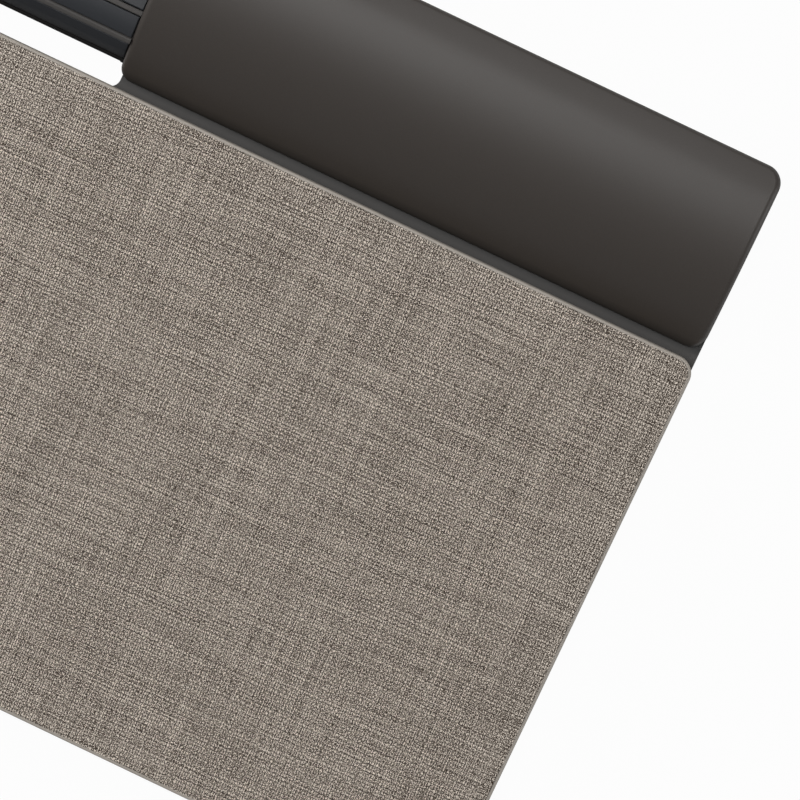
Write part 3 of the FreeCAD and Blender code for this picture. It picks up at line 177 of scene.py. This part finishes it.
# Core of the roller: a drawn aluminium tube, which turns on the two bushes. The die leaves fine lines
# along it.
LINE_WIDTH, LINE_LENGTH = 0.2 * MM, 25 * MM
tube_finish, tube_shader = new_finish("drawn_aluminium")
tube_spot = add(tube_finish, "ShaderNodeTexCoord", {}).outputs["Object"]
tube_lines = add(tube_finish, "ShaderNodeMapping",
                 {"Vector": tube_spot,
                  "Scale": [1 / LINE_LENGTH, 1 / LINE_WIDTH, 1 / LINE_WIDTH]}).outputs[0]
tube_marks = add(tube_finish, "ShaderNodeTexNoise",
                 {"Vector": tube_lines, "Scale": 1.0, "Detail": 2.0}).outputs[0]
tube_tone = add(tube_finish, "ShaderNodeMix",
                {0: tube_marks, 6: linear("b4b5b7"), 7: linear("d2d3d4")}, data_type="RGBA").outputs[2]
feed(tube_finish, tube_shader, {"Base Color": tube_tone, "Roughness": 0.34, "Metallic": 1.0})
dress(tube_finish, "core_tube")

# Grip sleeve of the roller and tyre of the wheel: soft black rubber, moulded with grooves that a
# finger can feel. The skin is dull and shows a very fine pebble.
dress(grained("moulded_grip_rubber", "1a1a1b", "2b2b2c", 0.35, 0.02, 0.72), "grip_sleeve", "wheel_tyre")

# Battery: a pouch cell in heat-sealed aluminium foil, which creases slightly as it is drawn tight.
# It lies flat on the chassis under the left-hand cover.
CREASE_WIDTH, CREASE_DEPTH = 9 * MM, 0.3 * MM
foil_finish, foil_shader = new_finish("sealed_foil_pouch")
foil_spot = add(foil_finish, "ShaderNodeTexCoord", {}).outputs["Object"]
foil_creases = add(foil_finish, "ShaderNodeTexNoise",
                   {"Vector": foil_spot, "Scale": 1 / CREASE_WIDTH, "Detail": 4.0,
                    "Distortion": 1.5}).outputs[0]
foil_tone = add(foil_finish, "ShaderNodeMix",
                {0: foil_creases, 6: linear("a5a7a9"), 7: linear("c4c6c7")}, data_type="RGBA").outputs[2]
foil_relief = add(foil_finish, "ShaderNodeBump",
                  {"Height": foil_creases, "Distance": CREASE_DEPTH}).outputs[0]
feed(foil_finish, foil_shader,
     {"Base Color": foil_tone, "Roughness": 0.4, "Metallic": 1.0, "Normal": foil_relief})
dress(foil_finish, "battery")

# Key frame and back rail: the same tinted ABS as the covers, in a finer grain, because fingers rub
# along the ribs. They are screwed down between the two covers. Painted shade darkens the lowest edge.
UP = 2
# Painted shade over the lowest 7.5 mm, darkest below 5.2 mm.
SILL_PAINTED_SHADE = (UP, 5.2 * MM, 7.5 * MM, 0.85)
dress(grained("moulded_frame_abs", "43413f", "535150", 0.25, 0.01, 0.5, 0.04, SILL_PAINTED_SHADE),
      "key_frame", "back_rail")

# Keys: blue-black polycarbonate blend, moulded with a satin face and clipped into the frame's
# windows. Painted shade darkens the lowest edge here too.
dress(grained("satin_key_plastic", "222427", "2d2f33", 0.25, 0.008, 0.5, 0.34, SILL_PAINTED_SHADE),
      *[f"{side}_{row}_key" for side in ("right", "left") for row in ("front", "middle", "rear")])

# End covers: warm dark grey ABS blend, moulded with a fine even grain, each held by four screws
# from below. Painted shade darkens their lowest edge.
COVER_PAINTED_SHADE = (UP, 4.2 * MM, 6.6 * MM, 0.88)
dress(grained("grained_cover_abs", "2c2723", "3a3531", 0.3, 0.012, 0.45, 0.5, COVER_PAINTED_SHADE),
      "right_cover", "left_cover")

# Steel plate of the palm rest: laser cut, then powder coated, which leaves a soft orange-peel skin.
# The coat is painted darker under the covers and for 1.4 mm in front of them, as painted shadow of the
# covers' front lips.
BACKWARD = 1
cover_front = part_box("right_cover")[0].y
LIP_PAINTED_SHADOW = (BACKWARD, cover_front + 0.3 * MM, cover_front - 1.4 * MM, 0.7)
dress(grained("powder_coated_steel", "302e2c", "3b3937", 0.7, 0.02, 0.55, 0.5, LIP_PAINTED_SHADOW), "rest_plate")

# Tray of the palm rest: pale grey-beige ABS, moulded in one piece. Its thin rim stands up all round
# the cloth.
dress(grained("moulded_rim_abs", "8f887f", "9d968d", 0.35, 0.01, 0.5), "rest_tray")

# Pad of the palm rest: foam under a plain-woven polyester cloth, glued down taut and tucked inside
# the rim. It starts as a low block with rounded corners, and the foam swells the cloth between its
# glued edges.
PAD_CORNER, PAD_EDGE, PAD_CROWN, PAD_STEP = 3.38 * MM, 0.1 * MM, 1.0 * MM, 4 * MM
PAD_TUCK = Vector((0.06 * MM, 0.06 * MM, 0))
cloth_low, cloth_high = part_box("cloth_cover")
cloth_low, cloth_high = cloth_low - PAD_TUCK, cloth_high + PAD_TUCK
pad_top = cloth_high.z - PAD_CROWN
pad_size = Vector((cloth_high.x - cloth_low.x, cloth_high.y - cloth_low.y, pad_top - cloth_low.z))
pad_mesh = bmesh.new()
bmesh.ops.create_cube(pad_mesh, size=1.0)
bmesh.ops.scale(pad_mesh, vec=pad_size, verts=pad_mesh.verts)
bmesh.ops.translate(pad_mesh, vec=cloth_low + pad_size / 2, verts=pad_mesh.verts)
upright = [edge for edge in pad_mesh.edges if abs(edge.verts[0].co.z - edge.verts[1].co.z) > PAD_EDGE]
bmesh.ops.bevel(pad_mesh, geom=upright, offset=PAD_CORNER, affect="EDGES", segments=6, profile=0.5,
                material=-1)
brim = [edge for edge in pad_mesh.edges if all(vert.co.z > pad_top - PAD_EDGE for vert in edge.verts)]
bmesh.ops.bevel(pad_mesh, geom=brim, offset=PAD_EDGE, affect="EDGES", segments=3, profile=0.5,
                material=-1)
for axis in (0, 1):
    middle = (cloth_low[axis] + cloth_high[axis]) / 2
    count = int((cloth_high[axis] - cloth_low[axis] - 2 * PAD_CORNER) / PAD_STEP)
    for index in range(count + 1):
        spot = Vector((0, 0, 0))
        spot[axis] = middle + (index - count / 2) * PAD_STEP
        way = Vector((0, 0, 0))
        way[axis] = 1
        bmesh.ops.bisect_plane(pad_mesh, geom=pad_mesh.verts[:] + pad_mesh.edges[:] + pad_mesh.faces[:],
                               plane_co=spot, plane_no=way)
bmesh.ops.recalc_face_normals(pad_mesh, faces=pad_mesh.faces)
woven_pad_data = bpy.data.meshes.new("woven_pad")
pad_mesh.to_mesh(woven_pad_data)
pad_mesh.free()
woven_pad_data.shade_smooth()
woven_pad = bpy.data.objects.new("woven_pad", woven_pad_data)
bpy.context.scene.collection.objects.link(woven_pad)

SWELL_PRESSURE, SWELL_FRAMES = 4.0, 20
free_low = cloth_low + Vector((PAD_CORNER, PAD_CORNER, 0))
free_high = cloth_high - Vector((PAD_CORNER, PAD_CORNER, 0))
glued = [vert.index for vert in woven_pad_data.vertices
         if vert.co.z < pad_top - PAD_EDGE / 10
         or not free_low.x < vert.co.x < free_high.x or not free_low.y < vert.co.y < free_high.y]
woven_pad.vertex_groups.new(name="glued_edge").add(glued, 1.0, "REPLACE")
swell = woven_pad.modifiers.new("swell", "CLOTH")
swell.settings.vertex_group_mass = "glued_edge"
swell.settings.use_pressure = True
swell.settings.uniform_pressure_force = SWELL_PRESSURE
swell.settings.effector_weights.gravity = 0.0
swell.point_cache.frame_end = SWELL_FRAMES
for step in range(1, SWELL_FRAMES + 1):
    bpy.context.scene.frame_set(step)
swelled = woven_pad.evaluated_get(bpy.context.evaluated_depsgraph_get()).to_mesh()
rises = [swelled.vertices[vert.index].co - vert.co for vert in woven_pad_data.vertices]
cap = PAD_CROWN / max(rise.z for rise in rises)
woven_pad.modifiers.remove(swell)
for vert, rise in zip(woven_pad_data.vertices, rises):
    vert.co += rise * min(cap, 1.0)
bpy.context.scene.frame_set(1)
smooth = woven_pad.modifiers.new("smooth", "SUBSURF")
smooth.levels = smooth.render_levels = 1

# The eye sees fine rows of thread both ways, slubs that run along them, painted shade in the pinholes
# between the threads and a speckle of single fibres, drawn coarser than the real ones. Coordinates count
# threads, so scales are per thread. The lengths say how many times longer than wide a slub or fibre is, and
# the stagger shifts the slubs of one thread against those of the next.
WARP_PITCH, WEFT_PITCH, WEAVE_SKEW = 0.601 * MM, 0.892 * MM, math.radians(1.8)
WAVER_SCALE, WAVER = 0.6, 0.6
WARP_ROUNDING, WEFT_ROUNDING, THREAD_DIP = 1.5, 0.7, 0.15
SLUB_SCALE, SLUB_LENGTH, SLUB_STAGGER = 4.0, 167, 0.37
FIBRE_SCALE, FIBRE_LENGTH = 5.0, 10
SPECKLE, THREAD_HEIGHT = 0.24 * MM, 0.03 * MM
PINHOLE_SCALE, PINHOLE_NARROW, PINHOLE_WIDE = 3.5, 0.5, 1.6
cloth_finish, cloth_shader = new_finish("plain_woven_polyester")
cloth_spot = add(cloth_finish, "ShaderNodeTexCoord", {}).outputs["Object"]
cloth_flat = add(cloth_finish, "ShaderNodeMapping",
                 {"Vector": cloth_spot, "Rotation": [0, 0, -WEAVE_SKEW]}).outputs[0]
cloth_count = add(cloth_finish, "ShaderNodeVectorMath",
                  {0: cloth_flat, 1: [1 / WARP_PITCH, 1 / WEFT_PITCH, 1 / WEFT_PITCH]},
                  operation="MULTIPLY").outputs[0]
cloth_waver = add(cloth_finish, "ShaderNodeTexNoise",
                  {"Vector": cloth_count, "Scale": WAVER_SCALE, "Detail": 1.0, "Roughness": 0.7},
                  noise_dimensions="2D").outputs[1]
cloth_drift = add(cloth_finish, "ShaderNodeVectorMath",
                  {0: cloth_waver, 1: [WAVER, WAVER, 0.0], 2: cloth_count},
                  operation="MULTIPLY_ADD").outputs[0]
thread = add(cloth_finish, "ShaderNodeSeparateXYZ", {0: cloth_drift})
swing, lift = {}, {}
for name, place in (("warp", 0), ("weft", 1)):
    angle = add(cloth_finish, "ShaderNodeMath", {0: thread.outputs[place], 1: math.pi},
                operation="MULTIPLY").outputs[0]
    swing[name] = add(cloth_finish, "ShaderNodeMath", {0: angle}, operation="SINE").outputs[0]
    lift[name] = add(cloth_finish, "ShaderNodeMath", {0: swing[name]}, operation="ABSOLUTE").outputs[0]
crossing = add(cloth_finish, "ShaderNodeMath", {0: swing["warp"], 1: swing["weft"]},
               operation="MULTIPLY").outputs[0]
weft_on_top = add(cloth_finish, "ShaderNodeMath", {0: crossing, 1: 0.0},
                  operation="GREATER_THAN").outputs[0]
hump, slub, fibre = {}, {}, {}
for name, other, place, rounding, slub_way, fibre_way in (
        ("warp", "weft", 0, WARP_ROUNDING, [SLUB_STAGGER, 1 / SLUB_LENGTH, 0], [1, 1 / FIBRE_LENGTH, 1]),
        ("weft", "warp", 1, WEFT_ROUNDING, [1 / SLUB_LENGTH, SLUB_STAGGER, 0], [1 / FIBRE_LENGTH, 1, 1])):
    across = add(cloth_finish, "ShaderNodeMath", {0: lift[name], 1: rounding}, operation="POWER").outputs[0]
    along = add(cloth_finish, "ShaderNodeMath", {0: lift[other], 1: THREAD_DIP},
                operation="POWER").outputs[0]
    hump[name] = add(cloth_finish, "ShaderNodeMath", {0: across, 1: along},
                     operation="MULTIPLY").outputs[0]
    slub_run = add(cloth_finish, "ShaderNodeVectorMath", {0: cloth_drift, 1: slub_way},
                   operation="DOT_PRODUCT").outputs[1]
    slub_spot = add(cloth_finish, "ShaderNodeCombineXYZ",
                    {0: thread.outputs[place], 1: slub_run}).outputs[0]
    slub[name] = add(cloth_finish, "ShaderNodeTexNoise",
                     {"Vector": slub_spot, "Scale": SLUB_SCALE, "Detail": 1.0, "Roughness": 0.6},
                     noise_dimensions="2D").outputs[0]
    fibre_spot = add(cloth_finish, "ShaderNodeVectorMath", {0: cloth_drift, 1: fibre_way},
                     operation="MULTIPLY").outputs[0]
    fibre[name] = add(cloth_finish, "ShaderNodeTexNoise",
                      {"Vector": fibre_spot, "Scale": FIBRE_SCALE, "Detail": 0.0},
                      noise_dimensions="2D").outputs[0]
height = add(cloth_finish, "ShaderNodeMix",
             {0: weft_on_top, 2: hump["warp"], 3: hump["weft"]}).outputs[0]
top_fibre = add(cloth_finish, "ShaderNodeMix",
                {0: weft_on_top, 2: fibre["warp"], 3: fibre["weft"]}).outputs[0]
speckle = add(cloth_finish, "ShaderNodeTexNoise",
              {"Vector": cloth_flat, "Scale": 1 / SPECKLE, "Detail": 0.0},
              noise_dimensions="2D").outputs[0]

# The yarn's lightness adds these up. Dark fibres are browner than light ones.
LIGHTNESS_REACH = 0.19
lightness = 0.0
middle_lightness = 0.0
for share, layer in ((1.0, slub["warp"]), (1.0, slub["weft"]), (0.5, top_fibre), (2.1, speckle),
                     (0.07, weft_on_top)):
    lightness = add(cloth_finish, "ShaderNodeMath", {0: layer, 1: share, 2: lightness},
                    operation="MULTIPLY_ADD").outputs[0]
    middle_lightness += share / 2
yarn_light = add(cloth_finish, "ShaderNodeMapRange",
                 {"Value": lightness, "From Min": middle_lightness - LIGHTNESS_REACH,
                  "From Max": middle_lightness + LIGHTNESS_REACH}).outputs[0]
yarn_tone = add(cloth_finish, "ShaderNodeMix",
                {0: yarn_light, 6: linear("301d05"), 7: linear("e3d7c9")}, data_type="RGBA").outputs[2]
# Painted shade: where the threads dip, the tone runs to near black, wider at some pinholes than at others.
pinch = add(cloth_finish, "ShaderNodeTexNoise",
            {"Vector": cloth_count, "Scale": PINHOLE_SCALE, "Detail": 1.0, "Roughness": 0.8},
            noise_dimensions="2D").outputs[0]
pinhole = add(cloth_finish, "ShaderNodeMapRange",
              {"Value": pinch, "From Min": 0.3, "From Max": 0.7, "To Min": PINHOLE_NARROW,
               "To Max": PINHOLE_WIDE}).outputs[0]
pinhole_painted_shade = add(cloth_finish, "ShaderNodeMapRange", {"Value": height, "From Max": pinhole}).outputs[0]
cloth_tone = add(cloth_finish, "ShaderNodeMix",
                 {0: pinhole_painted_shade, 6: linear("120800"), 7: yarn_tone}, data_type="RGBA").outputs[2]
cloth_relief = add(cloth_finish, "ShaderNodeBump",
                   {"Height": height, "Distance": THREAD_HEIGHT}).outputs[0]
feed(cloth_finish, cloth_shader, {"Base Color": cloth_tone, "Roughness": 0.9, "Normal": cloth_relief,
                                  "Sheen Weight": 0.1, "Sheen Roughness": 0.5})
woven_pad_data.materials.append(cloth_finish)
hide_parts("cloth_cover", "foam_pad")
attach(woven_pad, "palm_rest")

# Floor: a plain paper sweep, mid grey so that it throws little light up at the object. Camera, glossy
# and transmission rays see it as almost bare white, with a trace of the object's shadow.
FLOOR_HALF, WHITE_SHARE = 3.0, 0.97
floor_mesh = bmesh.new()
bmesh.ops.create_grid(floor_mesh, x_segments=1, y_segments=1, size=FLOOR_HALF)
floor_data = bpy.data.meshes.new("floor")
floor_mesh.to_mesh(floor_data)
floor_mesh.free()
floor = bpy.data.objects.new("floor", floor_data)
bpy.context.scene.collection.objects.link(floor)
floor_finish, floor_shader = new_finish("backdrop_paper")
rays = add(floor_finish, "ShaderNodeLightPath", {})
seen = rays.outputs["Is Camera Ray"]
for ray in ("Is Glossy Ray", "Is Transmission Ray"):
    seen = add(floor_finish, "ShaderNodeMath", {0: seen, 1: rays.outputs[ray]},
               operation="MAXIMUM").outputs[0]
whiteness = add(floor_finish, "ShaderNodeMath", {0: seen, 1: WHITE_SHARE}, operation="MULTIPLY").outputs[0]
white = add(floor_finish, "ShaderNodeEmission", {"Color": linear("ffffff"), "Strength": 1.0}).outputs[0]
feed(floor_finish, floor_shader, {"Base Color": linear("989898"), "Roughness": 0.9})
floor_mix = add(floor_finish, "ShaderNodeMixShader",
                {0: whiteness, 1: floor_shader.outputs[0], 2: white}).outputs[0]
feed(floor_finish, floor_finish.node_tree.nodes["Material Output"], {"Surface": floor_mix})
floor_data.materials.append(floor_finish)

# Light: a lamp overhead that draws the gleam along the crest, a strong broad one at the left, weaker
# ones behind and at the right, and a pale room all round.
LAMP_AIM, ROOM_LEVEL = Vector((0.18, 0.01, 0.0)), 0.25
for name, spot, size, power in (
        ("top_lamp", Vector((-0.05, 0.05, 1.8)), 0.6, 10.0),
        ("left_lamp", Vector((-1.4, 0.2, 0.75)), 0.8, 23.0),
        ("back_lamp", Vector((-0.05, 1.05, 1.3)), 0.8, 4.5),
        ("right_lamp", Vector((1.7, 0.1, 0.7)), 0.8, 7.0)):
    lamp_data = bpy.data.lights.new(name, "AREA")
    lamp_data.size = size
    lamp_data.energy = power
    lamp = bpy.data.objects.new(name, lamp_data)
    lamp.location = spot
    lamp.rotation_euler = (LAMP_AIM - spot).to_track_quat("-Z", "Y").to_euler()
    lamp.visible_camera = False
    bpy.context.scene.collection.objects.link(lamp)
room = bpy.data.worlds.new("room")
room.use_nodes = True
room.node_tree.nodes["Background"].inputs["Color"].default_value = linear("ffffff")
room.node_tree.nodes["Background"].inputs["Strength"].default_value = ROOM_LEVEL
bpy.context.scene.world = room
bpy.context.scene.view_settings.view_transform = "Standard"

# Camera: above the right-hand end and a little behind it, far off with a long lens, and turned so
# that the object's length runs down to the right.
VIEW_SPOT, VIEW_AIM = Vector((0.2073, 0.0701, 1.3)), Vector((0.1842, 0.0098, 0.012))
VIEW_LENS, VIEW_TURN = 251.59, math.radians(25.479)
camera_data = bpy.data.cameras.new("camera")
camera_data.sensor_width = 36.0
camera_data.lens = VIEW_LENS
camera = bpy.data.objects.new("camera", camera_data)
ahead = (VIEW_AIM - VIEW_SPOT).normalized()
rightward = Vector((math.cos(VIEW_TURN), math.sin(VIEW_TURN), 0))
rightward = (rightward - ahead * rightward.dot(ahead)).normalized()
camera.location = VIEW_SPOT
camera.rotation_euler = Matrix((rightward, rightward.cross(ahead), -ahead)).transposed().to_euler()
bpy.context.scene.collection.objects.link(camera)
bpy.context.scene.camera = camera
